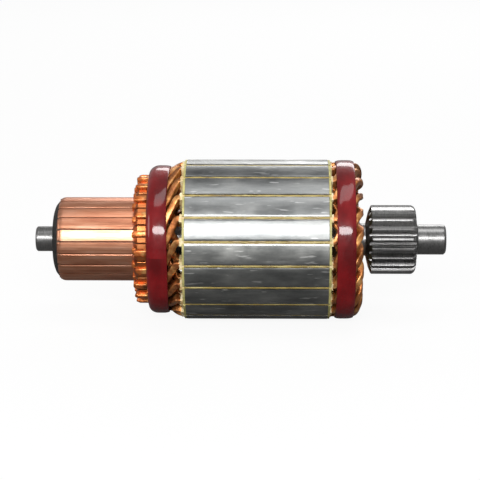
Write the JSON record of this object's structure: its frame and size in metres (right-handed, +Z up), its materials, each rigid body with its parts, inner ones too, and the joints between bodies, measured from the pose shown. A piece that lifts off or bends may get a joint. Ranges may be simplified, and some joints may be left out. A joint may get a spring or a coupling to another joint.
{
  "type": "motor armature",
  "caption": "Bar-wound armature of a gear-reduction starter motor, with copper commutator, red-banded hairpin winding and a pinion cut in the shaft.",
  "frame": {"origin": "on the shaft's axis, midway between the ends of the shaft", "axes": "+X along the shaft towards the pinion and the drive-end journal, +Z up"},
  "size_m": [0.1642, 0.064, 0.064],
  "materials": {
    "shaft_steel": "ground and hobbed steel",
    "core_steel": "turned laminations",
    "commutator_copper": "turned copper",
    "mica": "undercut micanite",
    "moulding_black": "phenolic moulding",
    "bush_steel": "turned steel",
    "coil_copper": "varnished copper bar",
    "liner_paper": "varnished insulating paper",
    "separator_paper": "varnished insulating paper",
    "insulating_sheet": "yellow insulating sheet",
    "band_red": "red lacquer over a binding"
  },
  "bodies": {
    "root": {"band_commutator_end": "band_red", "band_drive_end": "band_red", "coil_01": "coil_copper", "coil_02": "coil_copper", "coil_03": "coil_copper", "coil_04": "coil_copper", "coil_05": "coil_copper", "coil_06": "coil_copper", "coil_07": "coil_copper", "coil_08": "coil_copper", "coil_09": "coil_copper", "coil_10": "coil_copper", "coil_11": "coil_copper", "coil_12": "coil_copper", "coil_13": "coil_copper", "coil_14": "coil_copper", "coil_15": "coil_copper", "coil_16": "coil_copper", "coil_17": "coil_copper", "coil_18": "coil_copper", "coil_19": "coil_copper", "coil_20": "coil_copper", "coil_21": "coil_copper", "commutator_bar_01": "commutator_copper", "commutator_bar_02": "commutator_copper", "commutator_bar_03": "commutator_copper", "commutator_bar_04": "commutator_copper", "commutator_bar_05": "commutator_copper", "commutator_bar_06": "commutator_copper", "commutator_bar_07": "commutator_copper", "commutator_bar_08": "commutator_copper", "commutator_bar_09": "commutator_copper", "commutator_bar_10": "commutator_copper", "commutator_bar_11": "commutator_copper", "commutator_bar_12": "commutator_copper", "commutator_bar_13": "commutator_copper", "commutator_bar_14": "commutator_copper", "commutator_bar_15": "commutator_copper", "commutator_bar_16": "commutator_copper", "commutator_bar_17": "commutator_copper", "commutator_bar_18": "commutator_copper", "commutator_bar_19": "commutator_copper", "commutator_bar_20": "commutator_copper", "commutator_bar_21": "commutator_copper", "commutator_bush": "bush_steel", "commutator_moulding": "moulding_black", "core_stack": "core_steel", "end_insulator_commutator_end": "insulating_sheet", "end_insulator_drive_end": "insulating_sheet", "mica_segments": "mica", "shaft": "shaft_steel", "slot_liners": "liner_paper", "slot_separators": "separator_paper"}
  },
  "joints": []
}
